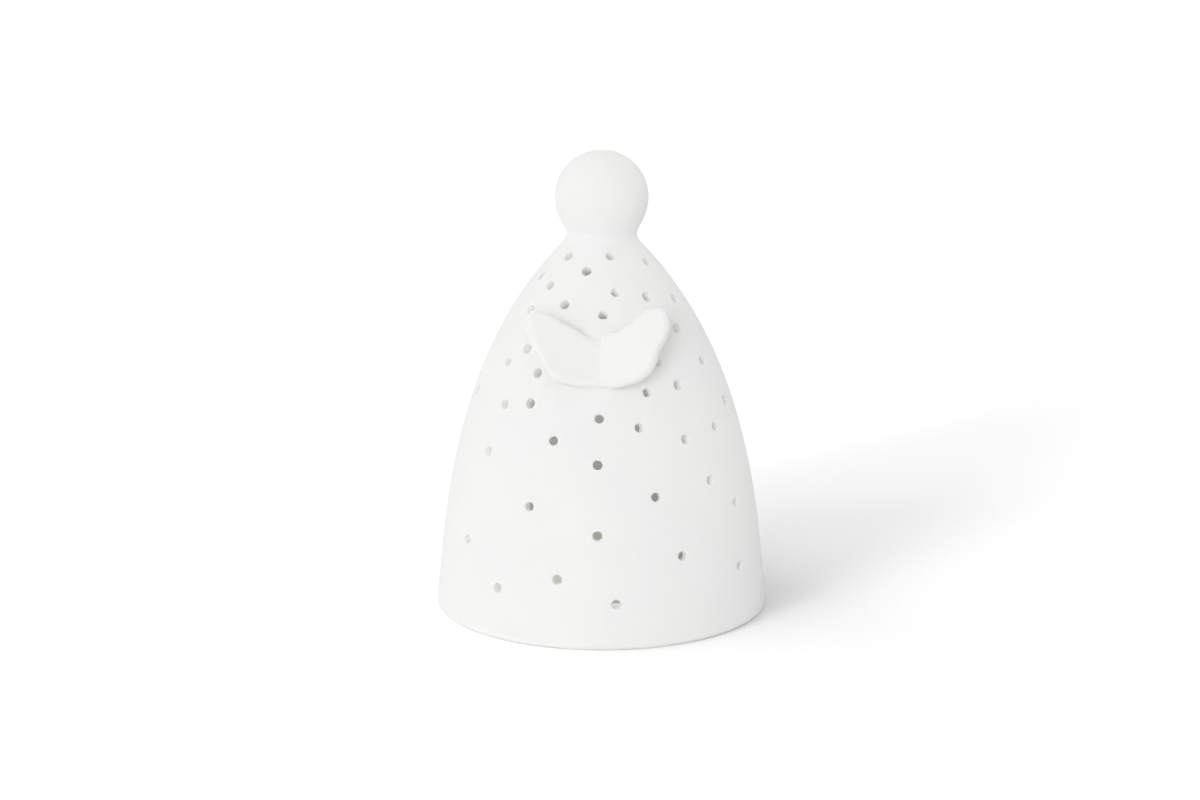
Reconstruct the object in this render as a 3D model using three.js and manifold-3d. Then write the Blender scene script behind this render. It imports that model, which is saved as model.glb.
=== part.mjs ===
// A porcelain light-up angel: a hollow pierced bell with a ball head, a pair of wings luted to
// its back, and a push-in lamp with one light-emitting diode that plugs the hole in its base.
// Millimetres, +Z up. The foot stands on Z = 0, the axis of the bell is X = Y = 0, and the
// back of the figure, with the wings, looks along -Y.

import * as THREE from "three";
import { mergeVertices } from "three/addons/utils/BufferGeometryUtils.js";
import Module from "manifold-3d";

const wasm = await Module();
wasm.setup();

// What is left open between pieces that touch, and how far a cutter runs past what it cuts.
const gap = 0.3;
const overrun = 1;

// The figure: one slip casting of even wall.
const baseRadius = 40;
const figureHeight = 110;
const figureWall = 3;
const footRounding = 1.1;
const footRingWidth = 3.4;
const footRingEase = 0.5;
const baseRecess = 3;
const baseThickness = 3;
const skirtSlopeDegrees = 7.7;
const skirtHandleShare = 0.185;
const shoulderRadius = 9.5;
const shoulderHeight = 87.9;
const shoulderSlopeDegrees = 44;
const shoulderHandleShare = 0.461;
const headRadius = 11.1;
const jawRadius = 26;
const jawTopDegrees = 23;
const jawEndDegrees = 30;
const pierceRadius = 1.15;

// The wings: two plates with a crease between them, leaning with the bell.
const wingSpan = 17;
const wingRise = 17;
const wingThickness = 3.6;
const wingRounding = 1.1;
const wingFootHeight = 60.6;
const wingLeanDegrees = 24;
const wingFoldDegrees = 14;
const wingBearingDegrees = -1.3;
const wingTurnDegrees = -7;

// The cell that the lamp is built round, a standard size.
const cellRadius = 10;
const cellThickness = 3.2;
const cellRimRounding = 0.4;
const cellCapRadius = 8.6;
const cellCapHeight = 0.25;
const cellClearance = 0.6;

// The lamp's housing, from the flange below the base to the cover above it.
const lampWall = 1.6;
const fittingClearance = 0.1;
const lampFloor = 3;
const flangeThickness = 1.6;
const flangeOverlap = 3.5;
const flangeEase = 0.4;
const wellWall = 1.4;
const wellRoof = 1.2;
const contactRoom = 1.9;
const seamAboveBoard = 1.4;
const coverEase = 0.8;
const collarWidth = 1.5;
const collarHeight = 0.8;

// The silicone ring that grips the hole in the base.
const gripThickness = 2.3;
const gripHeight = 4.5;
const gripRibDepth = 0.5;
const gripRibCount = 2;

// The battery door and its screw.
const doorThickness = 1.5;
const doorEarRadius = 2.9;
const doorScrewHeadRadius = 1.9;
const doorScrewHeadHeight = 0.6;
const doorScrewShankRadius = 0.9;
const doorScrewLength = 6;
const doorBossRadius = 2.6;
const doorBossRoof = 1;

// The two screws that close the housing.
const coverScrewHeadRadius = 2;
const coverScrewHeadHeight = 1.2;
const coverScrewShankRadius = 1;
const coverScrewLength = 10;
const coverBossRadius = 2.9;
const coverPostRadius = 2.6;
const driveSlotWidth = 0.6;
const driveSlotDepthShare = 0.5;
const driveSlotLengthShare = 1.3;

// The circuit board, the diode and its leads.
const boardThickness = 1.2;
const boardClearance = 0.5;
const diodeRadius = 2.5;
const diodeHeight = 8.6;
const diodeRimRadius = 2.9;
const diodeRimHeight = 1;
const leadWidth = 0.5;
const leadLength = 2.5;
const leadPitch = 2.54;

// The slide switch, whose button is worked from below.
const switchLength = 8.6;
const switchWidth = 3.7;
const switchHeight = 3.5;
const switchTravel = 2;
const switchPinWidth = 0.6;
const switchPinPitch = 2.5;
const switchPinCount = 3;
const stemWidth = 1.5;
const buttonLength = 3;
const buttonWidth = 3;
const buttonReach = 0.5;
const fingerRecessDepth = 1.2;
const fingerRecessMargin = 0.9;

// The sprung contacts, cut and bent from one strip.
const contactThickness = 0.35;
const contactWidth = 4;

// How finely round things are faceted.
const figureFacets = 36;
const lampFacets = 32;
const screwFacets = 12;
const pierceFacets = 6;
const wingStepsPerPoint = 2;

// Places that follow from the sizes above.
const recessRadius = baseRadius - footRingWidth;
const baseTop = baseRecess + baseThickness;
const flangeTop = baseRecess - gap;
const lampUnderside = flangeTop - flangeThickness;
const lampFloorTop = lampUnderside + lampFloor;
const doorTop = lampUnderside + doorThickness;
const doorSeat = doorTop + gap;
const doorPilotEnd = lampUnderside + doorScrewLength + gap;
const cellBottom = doorTop + gap;
const cellTop = cellBottom + cellThickness;
const wellRadius = cellRadius + cellClearance;
const wellOuterRadius = wellRadius + wellWall;
const fittingRoom = 2 * (coverBossRadius + fittingClearance);
const lampInnerRadius = wellOuterRadius + fittingRoom;
const lampRadius = lampInnerRadius + lampWall;
const fittingOffset = wellOuterRadius + fittingRoom / 2;
const lampHoleRadius = lampRadius + gripThickness + 2 * gap;
const flangeRadius = lampHoleRadius + flangeOverlap;
const wellCeiling = cellTop + contactRoom;
const wellTop = wellCeiling + wellRoof;
const boardBottom = wellTop + gap;
const boardTop = boardBottom + boardThickness;
const boardRadius = lampRadius - lampWall - boardClearance;
const seamHeight = boardTop + seamAboveBoard;
const diodeBottom = boardTop + leadLength + 2 * gap;
const coverUnderside = diodeBottom + diodeRimHeight + gap;
const coverTop = coverUnderside + lampWall;
const switchBottom = lampFloorTop + gap;
const switchTop = switchBottom + switchHeight;
const fingerRecessTop = lampUnderside + fingerRecessDepth;

// Where the maker pierced the wall: bearing in degrees from the back of the figure, and
// height as a share of the height of the shoulder. The back and the front share one scatter,
// half a turn apart; the sides and the part of the front that has no wings have their own.
const pierceHeightShares = [
  [-44, 0.978], [11.5, 0.984], [-15, 0.948], [57.5, 0.962], [-67, 0.923], [-47, 0.906],
  [11, 0.899], [36, 0.882], [64, 0.864], [-27, 0.867], [1, 0.846], [-55, 0.842],
  [50.5, 0.798], [-44, 0.751], [-55, 0.708], [-33, 0.698], [29.5, 0.726], [62, 0.705],
  [-77, 0.612], [-48, 0.607], [-33.5, 0.622], [21.5, 0.656], [38.5, 0.663], [70.5, 0.592],
  [-1, 0.595], [16, 0.571], [36.5, 0.529], [55.5, 0.541], [-20, 0.536], [-51.5, 0.484],
  [-1.5, 0.481], [46, 0.411], [59.5, 0.336], [20.5, 0.392], [-27.5, 0.364], [-56.5, 0.239],
  [-1.5, 0.3], [29.5, 0.232], [57.5, 0.165], [-38.5, 0.138], [-15.5, 0.183], [5, 0.121],
];
const sidePierceHeightShares = [
  [104, 0.8], [99, 0.715], [97, 0.49], [106, 0.43], [96, 0.325], [107, 0.27], [95, 0.15],
  [-108, 0.9], [-102, 0.77], [-106, 0.685], [-96, 0.5], [-95, 0.385], [-104, 0.33],
  [-94, 0.22], [-104, 0.125],
];
const frontPierceHeightShares = [[184, 0.745], [167, 0.775], [196, 0.815], [171, 0.68]];

// The outline of each wing from the foot of the crease, out round the tip and back to the
// head of the crease: shares of the span and of the rise.
const leftWingShares = [
  [0, -0.02], [0.24, -0.04], [0.52, 0.01], [0.69, 0.12], [0.78, 0.27], [0.89, 0.46],
  [1, 0.64], [1.02, 0.78], [0.99, 0.9], [0.93, 0.96], [0.83, 0.95], [0.62, 0.87],
  [0.33, 0.74], [0, 0.62],
];
const rightWingShares = [
  [0, -0.02], [0.21, -0.04], [0.35, -0.01], [0.54, 0.05], [0.7, 0.17], [0.78, 0.34],
  [0.82, 0.49], [0.89, 0.61], [0.93, 0.75], [0.92, 0.9], [0.87, 1], [0.8, 1.04],
  [0.6, 1.01], [0.49, 0.92], [0.36, 0.82], [0.22, 0.75], [0.08, 0.69], [0, 0.63],
];

const radians = THREE.MathUtils.degToRad;
const vector = (x, y) => new THREE.Vector2(x, y);

function solidOf(geometry) {
  const bare = geometry.clone();
  bare.deleteAttribute("normal");
  bare.deleteAttribute("uv");
  const merged = mergeVertices(bare);
  const mesh = new wasm.Mesh({
    numProp: 3,
    vertProperties: new Float32Array(merged.attributes.position.array),
    triVerts: new Uint32Array(merged.index.array),
  });
  return new wasm.Manifold(mesh);
}

function geometryOf(solid) {
  const mesh = solid.getMesh();
  const geometry = new THREE.BufferGeometry();
  geometry.setAttribute("position", new THREE.BufferAttribute(mesh.vertProperties, 3));
  geometry.setIndex(new THREE.BufferAttribute(mesh.triVerts, 1));
  return geometry;
}

// A profile of radius and height turned about the Z axis.
function turned(profile, facets = lampFacets) {
  return new THREE.LatheGeometry(profile, facets).rotateX(Math.PI / 2);
}

// An upright cylinder from one height to another, with its axis at x, y.
function post(radius, bottom, top, x = 0, y = 0, facets = screwFacets) {
  const cylinder = new THREE.CylinderGeometry(radius, radius, top - bottom, facets);
  return cylinder.rotateX(Math.PI / 2).translate(x, y, (bottom + top) / 2);
}

// A box centred on x, y, from one height to another.
function block(length, width, bottom, top, x = 0, y = 0) {
  const box = new THREE.BoxGeometry(length, width, top - bottom);
  return box.translate(x, y, (bottom + top) / 2);
}

function join(first, ...others) {
  return others.reduce((whole, next) => whole.add(solidOf(next)), solidOf(first));
}

function cut(whole, ...cutters) {
  return cutters.reduce((left, next) => left.subtract(solidOf(next)), whole);
}

function piece(name, shape, material) {
  const geometry = shape.isBufferGeometry ? shape : geometryOf(shape);
  const mesh = new THREE.Mesh(geometry, material.clone());
  mesh.name = name;
  return mesh;
}

function finish(color, roughness, metalness = 0) {
  return new THREE.MeshStandardMaterial({ color, roughness, metalness });
}

const porcelain = finish(0xf4f3f1, 0.75);
const silicone = finish(0xdfe3e4, 0.55);
const whitePlastic = finish(0xe9e9e6, 0.45);
const boardGreen = finish(0x2f6b45, 0.5);
const clearResin = finish(0xf3ead2, 0.1);
const blackPlastic = finish(0x1d1e20, 0.5);
const nickel = finish(0xc4c5c3, 0.3, 0.9);
const steel = finish(0xa9abad, 0.35, 0.9);

function meetingPoint(from, along, other, otherAlong) {
  const side = vector(-otherAlong.y, otherAlong.x);
  const travel = other.clone().sub(from).dot(side) / along.dot(side);
  return along.clone().multiplyScalar(travel).add(from);
}

// The outer outline above the foot: the bell as one cubic curve, the hollow of the neck, the
// jaw as a shallow arc and the ball of the head, up to the pole.
function figureCurves() {
  const bellRise = shoulderHeight - footRounding;
  const hem = vector(baseRadius, footRounding);
  const hemSlope = radians(skirtSlopeDegrees);
  const hemAlong = vector(-Math.sin(hemSlope), Math.cos(hemSlope));
  const shoulder = vector(shoulderRadius, shoulderHeight);
  const shoulderSlope = radians(shoulderSlopeDegrees);
  const shoulderAlong = vector(-Math.sin(shoulderSlope), Math.cos(shoulderSlope));
  const hemHandle = hemAlong.clone().multiplyScalar(skirtHandleShare * bellRise).add(hem);
  const shoulderReach = shoulderHandleShare * bellRise;
  const shoulderHandle = shoulder.clone().addScaledVector(shoulderAlong, -shoulderReach);
  const bell = new THREE.CubicBezierCurve(hem, hemHandle, shoulderHandle, shoulder);

  const jawTop = -radians(jawTopDegrees);
  const jawEnd = -radians(jawEndDegrees);
  const headCentre = vector(0, figureHeight - headRadius);
  const inward = headRadius - jawRadius;
  const jawCentre = vector(Math.cos(jawTop), Math.sin(jawTop)).multiplyScalar(inward).add(headCentre);
  const jaw = new THREE.EllipseCurve(
    jawCentre.x, jawCentre.y, jawRadius, jawRadius, jawEnd, jawTop);
  const head = new THREE.EllipseCurve(
    headCentre.x, headCentre.y, headRadius, headRadius, jawTop, Math.PI / 2);
  const chin = jaw.getPoint(0);
  const nape = meetingPoint(shoulder, shoulderAlong, chin, jaw.getTangent(0));
  const neck = new THREE.QuadraticBezierCurve(shoulder, nape, chin);
  return { bell, neck, jaw, head };
}

// Points of the outline moved in by an even wall; a negative inset moves them out.
function outline(inset, steps) {
  const points = [];
  for (const [name, curve] of Object.entries(figureCurves())) {
    const last = name === "head" ? steps[name] : steps[name] - 1;
    for (let i = 0; i <= last; i += 1) {
      const share = i / steps[name];
      const along = curve.getTangent(share);
      const point = curve.getPoint(share);
      points.push(vector(point.x - along.y * inset, point.y + along.x * inset));
    }
  }
  points[points.length - 1].x = 0;
  return points;
}

const outerSteps = { bell: 11, neck: 3, jaw: 2, head: 6 };
const innerSteps = { bell: 6, neck: 2, jaw: 1, head: 4 };

// The casting as it leaves its mould, before it is pierced.
function castFigure() {
  const roundFoot = new THREE.EllipseCurve(
    baseRadius - footRounding, footRounding, footRounding, footRounding, -Math.PI / 2, 0);
  const footPoints = roundFoot.getPoints(3).slice(0, -1);
  const inner = outline(figureWall, innerSteps).filter((point) => point.y > baseTop + figureWall);
  const floorCorner = vector(inner[0].x, baseTop);
  return turned([
    ...inner.reverse(),
    floorCorner.clone().add(vector(0, figureWall / 2)),
    floorCorner.clone().sub(vector(figureWall / 2, 0)),
    vector(lampHoleRadius, baseTop),
    vector(lampHoleRadius, baseRecess),
    vector(recessRadius - footRingEase, baseRecess),
    vector(recessRadius, baseRecess - footRingEase),
    vector(recessRadius, footRingEase),
    vector(recessRadius + footRingEase, 0),
    ...footPoints,
    ...outline(0, outerSteps),
  ], figureFacets);
}

// A drill square to the wall at one bearing and height of the bell.
function drillAt(bell, bearingDegrees, heightShare) {
  const height = heightShare * shoulderHeight;
  let low = 0;
  let high = 1;
  for (let i = 0; i < 30; i += 1) {
    const middle = (low + high) / 2;
    if (bell.getPoint(middle).y < height) low = middle;
    else high = middle;
  }
  const place = bell.getPoint(low);
  const along = bell.getTangent(low);
  const drill = new THREE.CylinderGeometry(
    pierceRadius, pierceRadius, 2 * (figureWall + overrun), pierceFacets);
  drill.rotateZ(-Math.PI / 2 + Math.atan2(-along.x, along.y));
  drill.translate(place.x, place.y, 0);
  return drill.rotateX(Math.PI / 2).rotateZ(radians(bearingDegrees) - Math.PI / 2);
}

function porcelainShell() {
  const { bell } = figureCurves();
  const front = pierceHeightShares.map(([bearing, share]) => [bearing + 180, share]);
  const places = [
    ...pierceHeightShares, ...front, ...sidePierceHeightShares, ...frontPierceHeightShares];
  const drills = places.map(([bearing, share]) => drillAt(bell, bearing, share));
  return piece("porcelain_shell", cut(solidOf(castFigure()), ...drills), porcelain);
}

// One wing as a plate with a soft rim, in the plane of the crease: X outward, Y up the
// crease, and its front face on Z = 0. It runs past the crease so that both can be mitred.
function wingPlate(shares, side) {
  const points = shares.map(([out, up]) => vector(side * out * wingSpan, up * wingRise));
  const [foot, head] = [points[0], points[points.length - 1]];
  const shape = new THREE.Shape();
  shape.moveTo(foot.x - side * wingThickness, foot.y);
  shape.lineTo(foot.x, foot.y);
  shape.splineThru(points.slice(1));
  shape.lineTo(head.x - side * wingThickness, head.y);
  const plate = new THREE.ExtrudeGeometry(shape, {
    depth: wingThickness - 2 * wingRounding,
    bevelThickness: wingRounding,
    bevelSize: wingRounding,
    bevelOffset: -wingRounding,
    bevelSegments: 2,
    curveSegments: wingStepsPerPoint,
  });
  return plate.translate(0, 0, wingRounding - wingThickness);
}

// Cuts a mesh by geometry that stands in the figure's own frame.
function cutInPlace(mesh, ...cutters) {
  mesh.updateWorldMatrix(true, false);
  const placed = solidOf(mesh.geometry.clone().applyMatrix4(mesh.matrixWorld));
  const left = geometryOf(cut(placed, ...cutters));
  mesh.geometry = left.applyMatrix4(mesh.matrixWorld.clone().invert());
}

// The radius of the bell at a height.
function bellRadiusAt(height) {
  const { bell } = figureCurves();
  const points = bell.getPoints(100);
  const above = points.find((point) => point.y >= height);
  return above.x;
}

function wingPair() {
  const pair = new THREE.Group();
  const bearing = radians(wingBearingDegrees);
  const standOff = bellRadiusAt(wingFootHeight) + wingThickness;
  pair.position.set(
    Math.sin(bearing) * standOff, -Math.cos(bearing) * standOff, wingFootHeight);
  pair.rotation.order = "ZXY";
  pair.rotation.x = radians(90 - wingLeanDegrees);
  pair.rotation.z = radians(wingTurnDegrees);
  const leftWing = piece("left_wing", wingPlate(leftWingShares, -1), porcelain);
  leftWing.rotation.y = radians(wingFoldDegrees);
  const rightWing = piece("right_wing", wingPlate(rightWingShares, 1), porcelain);
  rightWing.rotation.y = -radians(wingFoldDegrees);
  pair.add(leftWing, rightWing);
  pair.updateMatrixWorld(true);

  const bell = turned([
    vector(0, 0), vector(baseRadius + gap, 0), ...outline(-gap, outerSteps)], figureFacets);
  for (const [wing, side] of [[leftWing, -1], [rightWing, 1]]) {
    const reach = 2 * wingSpan;
    const beyond = new THREE.BoxGeometry(reach, 2 * reach, 2 * reach);
    beyond.translate(-side * (reach - gap) / 2, 0, 0).applyMatrix4(pair.matrixWorld);
    cutInPlace(wing, beyond, bell);
  }
  return pair;
}

function gripRing() {
  const inside = lampRadius + gap;
  const outside = lampRadius + gap + gripThickness;
  const bottom = flangeTop + gap;
  const pitch = gripHeight / gripRibCount;
  const profile = [vector(inside, bottom), vector(outside - gripRibDepth, bottom)];
  for (let i = 0; i < gripRibCount; i += 1) {
    const crest = bottom + (i + 0.5) * pitch;
    profile.push(
      vector(outside - gripRibDepth, crest - pitch / 3),
      vector(outside, crest - pitch / 9),
      vector(outside, crest + pitch / 9),
      vector(outside - gripRibDepth, crest + pitch / 3));
  }
  profile.push(
    vector(outside - gripRibDepth, bottom + gripHeight),
    vector(inside, bottom + gripHeight),
    vector(inside, bottom));
  return piece("grip_ring", turned(profile), silicone);
}

// The door's outline as an upright solid: a disc with an ear for the screw.
function doorForm(grow, bottom, top) {
  const ear = doorEarRadius + grow;
  return join(
    post(wellOuterRadius + grow, bottom, top, 0, 0, lampFacets),
    block(2 * ear, fittingOffset, bottom, top, 0, -fittingOffset / 2),
    post(ear, bottom, top, 0, -fittingOffset));
}

function lampBase() {
  const cup = turned([
    vector(0, lampUnderside),
    vector(flangeRadius - flangeEase, lampUnderside),
    vector(flangeRadius, lampUnderside + flangeEase),
    vector(flangeRadius, flangeTop),
    vector(lampRadius, flangeTop),
    vector(lampRadius, seamHeight),
    vector(lampInnerRadius, seamHeight),
    vector(lampInnerRadius, lampFloorTop),
    vector(0, lampFloorTop),
  ]);
  const inFloor = lampFloorTop - lampFloor / 2;
  const whole = join(
    cup,
    post(wellOuterRadius, inFloor, wellTop, 0, 0, lampFacets),
    post(coverBossRadius, inFloor, wellTop, -fittingOffset, 0),
    post(coverBossRadius, inFloor, wellTop, fittingOffset, 0),
    post(doorBossRadius, inFloor, doorPilotEnd + doorBossRoof, 0, -fittingOffset));

  const below = lampUnderside - overrun;
  const rebate = doorForm(gap, below, doorSeat);
  const pocketDepth = contactThickness + cellClearance + 2 * gap;
  const screwCuts = [-fittingOffset, fittingOffset].flatMap((x) => [
    post(coverScrewHeadRadius + gap, below, lampUnderside + coverScrewHeadHeight + gap, x, 0),
    post(coverScrewShankRadius + gap, below, wellTop + overrun, x, 0),
  ]);
  return piece("lamp_base", cut(
    whole.subtract(rebate),
    post(wellRadius, below, wellCeiling, 0, 0, lampFacets),
    ...screwCuts,
    post(doorScrewShankRadius + gap, below, doorPilotEnd, 0, -fittingOffset),
    block(contactWidth + 2 * gap, 2 * pocketDepth, doorSeat, wellTop + overrun,
      0, -cellRadius),
    block(contactThickness + 2 * gap, contactWidth + 2 * gap, wellCeiling - overrun,
      wellTop + overrun, -cellRadius / 2, 0),
    block(buttonLength + switchTravel + 2 * fingerRecessMargin,
      buttonWidth + 2 * fingerRecessMargin, below, fingerRecessTop, 0, fittingOffset),
    block(stemWidth + switchTravel + 2 * gap, stemWidth + 2 * gap, below,
      lampFloorTop + overrun, 0, fittingOffset),
  ), whitePlastic);
}

function lampCover() {
  const collarRadius = diodeRimRadius + collarWidth;
  const cap = turned([
    vector(0, coverUnderside),
    vector(lampInnerRadius, coverUnderside),
    vector(lampInnerRadius, seamHeight + gap),
    vector(lampRadius, seamHeight + gap),
    vector(lampRadius, coverTop - coverEase),
    vector(lampRadius - coverEase, coverTop),
    vector(collarRadius, coverTop),
    vector(collarRadius, coverTop + collarHeight),
    vector(0, coverTop + collarHeight),
  ]);
  const inPlate = coverTop - lampWall / 2;
  const pilotEnd = lampUnderside + coverScrewHeadHeight + coverScrewLength + gap;
  const offsets = [-fittingOffset, fittingOffset];
  const posts = offsets.map((x) => post(coverPostRadius, boardBottom, inPlate, x, 0));
  const pilots = offsets.map((x) => (
    post(coverScrewShankRadius + gap, boardBottom - overrun, pilotEnd, x, 0)));
  return piece("lamp_cover", cut(
    join(cap, ...posts),
    post(diodeRadius + gap, coverUnderside - overrun, coverTop + collarHeight + overrun,
      0, 0, lampFacets / 2),
    ...pilots,
  ), whitePlastic);
}

// A screw standing head down, with one slot across its head.
function screw(name, x, y, head, shank) {
  const headTop = lampUnderside + head.height;
  const slotDepth = driveSlotDepthShare * head.height;
  return piece(name, cut(
    join(
      post(head.radius, lampUnderside, headTop, x, y),
      post(shank.radius, headTop - slotDepth / 2, headTop + shank.length, x, y)),
    block(driveSlotLengthShare * head.radius, driveSlotWidth, lampUnderside - overrun,
      lampUnderside + slotDepth, x, y),
  ), steel);
}

function coverScrews() {
  const head = { radius: coverScrewHeadRadius, height: coverScrewHeadHeight };
  const shank = { radius: coverScrewShankRadius, length: coverScrewLength };
  return [-fittingOffset, fittingOffset].map((x, i) => (
    screw(`cover_screw_${i + 1}`, x, 0, head, shank)));
}

function batteryDoor() {
  const counterboreTop = lampUnderside + doorScrewHeadHeight + gap;
  const below = lampUnderside - overrun;
  const door = piece("battery_door", cut(
    doorForm(0, lampUnderside, doorTop),
    post(doorScrewHeadRadius + gap, below, counterboreTop, 0, -fittingOffset),
    post(doorScrewShankRadius + gap, below, doorTop + overrun, 0, -fittingOffset),
  ), whitePlastic);
  const head = { radius: doorScrewHeadRadius, height: doorScrewHeadHeight };
  const shankLength = doorScrewLength - doorScrewHeadHeight;
  const shank = { radius: doorScrewShankRadius, length: shankLength };
  return [door, screw("door_screw", 0, -fittingOffset, head, shank)];
}

function coinCell() {
  return piece("coin_cell", turned([
    vector(0, cellBottom),
    vector(cellRadius - cellRimRounding, cellBottom),
    vector(cellRadius, cellBottom + cellRimRounding),
    vector(cellRadius, cellTop - cellCapHeight - cellRimRounding),
    vector(cellRadius - cellRimRounding, cellTop - cellCapHeight),
    vector(cellCapRadius, cellTop - cellCapHeight),
    vector(cellCapRadius - cellCapHeight, cellTop),
    vector(0, cellTop),
  ]), nickel);
}

function circuitBoard() {
  const disc = solidOf(post(boardRadius, boardBottom, boardTop, 0, 0, lampFacets));
  const notches = [-fittingOffset, fittingOffset].map((x) => (
    post(coverPostRadius + gap, boardBottom - overrun, boardTop + overrun, x, 0)));
  return piece("circuit_board", cut(disc, ...notches), boardGreen);
}

function diode() {
  const domeFoot = diodeBottom + diodeHeight - diodeRadius;
  const dome = new THREE.EllipseCurve(
    0, domeFoot, diodeRadius, diodeRadius, 0, Math.PI / 2).getPoints(5);
  dome[dome.length - 1].x = 0;
  const lens = piece("led_body", turned([
    vector(0, diodeBottom),
    vector(diodeRimRadius, diodeBottom),
    vector(diodeRimRadius, diodeBottom + diodeRimHeight),
    vector(diodeRadius, diodeBottom + diodeRimHeight),
    ...dome,
  ], lampFacets / 2), clearResin);
  const leads = [["led_anode_lead", -leadPitch / 2], ["led_cathode_lead", leadPitch / 2]];
  return [lens, ...leads.map(([name, x]) => (
    piece(name, block(leadWidth, leadWidth, boardTop + gap, diodeBottom - gap, x, 0), steel)))];
}

function slideSwitch() {
  const pins = [];
  for (let i = 0; i < switchPinCount; i += 1) {
    const x = (i - (switchPinCount - 1) / 2) * switchPinPitch;
    const foot = switchTop - switchPinWidth;
    pins.push(block(switchPinWidth, switchPinWidth, foot, boardBottom - gap, x, fittingOffset));
  }
  const can = block(switchLength, switchWidth, switchBottom, switchTop, 0, fittingOffset);
  const off = -switchTravel / 2;
  const buttonTop = fingerRecessTop - gap;
  const slider = join(
    block(buttonLength, buttonWidth, lampUnderside - buttonReach, buttonTop, off, fittingOffset),
    block(stemWidth, stemWidth, buttonTop - buttonReach, switchBottom - gap, off, fittingOffset));
  return [
    piece("switch_body", join(can, ...pins), blackPlastic),
    piece("switch_slider", slider, blackPlastic),
  ];
}

// A bent strip: its middle line in the XY plane, drawn with its thickness and then raised.
function bentStrip(line) {
  const half = contactThickness / 2;
  const sides = [[], []];
  line.forEach((point, i) => {
    const before = line[Math.max(i - 1, 0)];
    const after = line[Math.min(i + 1, line.length - 1)];
    const into = point.clone().sub(before).normalize();
    const away = after.clone().sub(point).normalize();
    const along = into.clone().add(away).normalize();
    const across = vector(-along.y, along.x);
    const run = i === 0 ? away : into;
    const reach = half / across.dot(vector(-run.y, run.x));
    sides[0].push(point.clone().addScaledVector(across, reach));
    sides[1].unshift(point.clone().addScaledVector(across, -reach));
  });
  const strip = new THREE.ExtrudeGeometry(
    new THREE.Shape(sides.flat()), { depth: contactWidth, bevelEnabled: false });
  return strip.translate(0, 0, -contactWidth / 2);
}

// The leaf under the roof of the well, which presses on the cap of the cell.
function negativeContact() {
  const root = -cellRadius / 2;
  const level = wellCeiling - gap - contactThickness / 2;
  const touch = cellTop + gap + contactThickness / 2;
  const leaf = bentStrip([
    vector(root, boardBottom - gap),
    vector(root, level),
    vector(0, level),
    vector(-root * 0.8, touch),
    vector(-root, touch + contactThickness),
  ]);
  return piece("negative_contact", leaf.rotateX(Math.PI / 2), nickel);
}

// The spring beside the cell, bowed against its rim.
function positiveContact() {
  const touch = cellRadius + gap + contactThickness / 2;
  const back = cellRadius + cellClearance + contactThickness;
  const rimMiddle = (cellBottom + cellTop) / 2;
  const spring = bentStrip([
    vector(back, cellBottom),
    vector(touch, rimMiddle),
    vector(back, cellTop),
    vector(back, boardBottom - gap),
  ]);
  return piece(
    "positive_contact", spring.rotateX(Math.PI / 2).rotateZ(-Math.PI / 2), nickel);
}

function lamp() {
  const unit = new THREE.Group();
  unit.add(
    gripRing(), lampBase(), lampCover(), ...coverScrews(), circuitBoard(), ...diode(),
    ...slideSwitch(), positiveContact(), negativeContact(), coinCell(), ...batteryDoor());
  return unit;
}

const angel = new THREE.Group();
angel.add(porcelainShell(), wingPair(), lamp());

export default angel;
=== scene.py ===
import math
import random

import bmesh
import bpy
from mathutils import Matrix, Vector, geometry, kdtree


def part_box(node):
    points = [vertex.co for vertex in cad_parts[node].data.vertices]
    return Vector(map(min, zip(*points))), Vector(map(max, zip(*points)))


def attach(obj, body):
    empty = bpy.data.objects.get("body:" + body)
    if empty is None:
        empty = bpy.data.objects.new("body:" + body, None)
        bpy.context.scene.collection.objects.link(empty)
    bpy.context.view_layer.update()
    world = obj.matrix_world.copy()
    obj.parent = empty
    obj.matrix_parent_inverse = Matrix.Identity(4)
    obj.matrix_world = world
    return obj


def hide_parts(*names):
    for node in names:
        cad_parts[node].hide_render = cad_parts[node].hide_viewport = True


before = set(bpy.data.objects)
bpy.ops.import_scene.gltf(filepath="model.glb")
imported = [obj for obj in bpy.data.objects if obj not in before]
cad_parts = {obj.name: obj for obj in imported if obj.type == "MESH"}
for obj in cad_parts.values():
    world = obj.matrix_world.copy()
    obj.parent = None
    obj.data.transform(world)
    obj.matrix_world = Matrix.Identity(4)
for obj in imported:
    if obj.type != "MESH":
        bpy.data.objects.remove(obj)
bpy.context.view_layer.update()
print("frame loaded with", len(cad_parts), "nodes")

mm = 0.001
hair = 0.001 * mm  # too small to see
sliver = 7 * hair  # points of a finished piece that are closer than this become one


# the camera, fitted to the outline in the photo
photo = {
    "wide": 1200,  # pixels
    "focal": 2530,  # pixels
    "distance": 620 * mm,
    "elevation": 17.515,  # degrees above the base
    "lookHeight": 49.77 * mm,
    "offAxis": 0.37 * mm,
    "sensor": 36,  # millimetres, as the camera wants it
    "nearest": 10 * mm,
    "farthest": 20,
}


def makeCamera():
    tilt = math.radians(photo["elevation"])
    target = Vector((-photo["offAxis"], 0, photo["lookHeight"]))
    place = Vector((
        -photo["offAxis"],
        -photo["distance"] * math.cos(tilt),
        photo["distance"] * math.sin(tilt),
    ))
    lens = bpy.data.cameras.new("camera")
    lens.sensor_width = photo["sensor"]
    lens.lens = photo["focal"] / photo["wide"] * lens.sensor_width
    lens.clip_start = photo["nearest"]
    lens.clip_end = photo["farthest"]
    camera = bpy.data.objects.new("camera", lens)
    camera.location = place
    camera.rotation_euler = (target - place).to_track_quat("-Z", "Y").to_euler()
    bpy.context.collection.objects.link(camera)
    bpy.context.scene.camera = camera


makeCamera()


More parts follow.
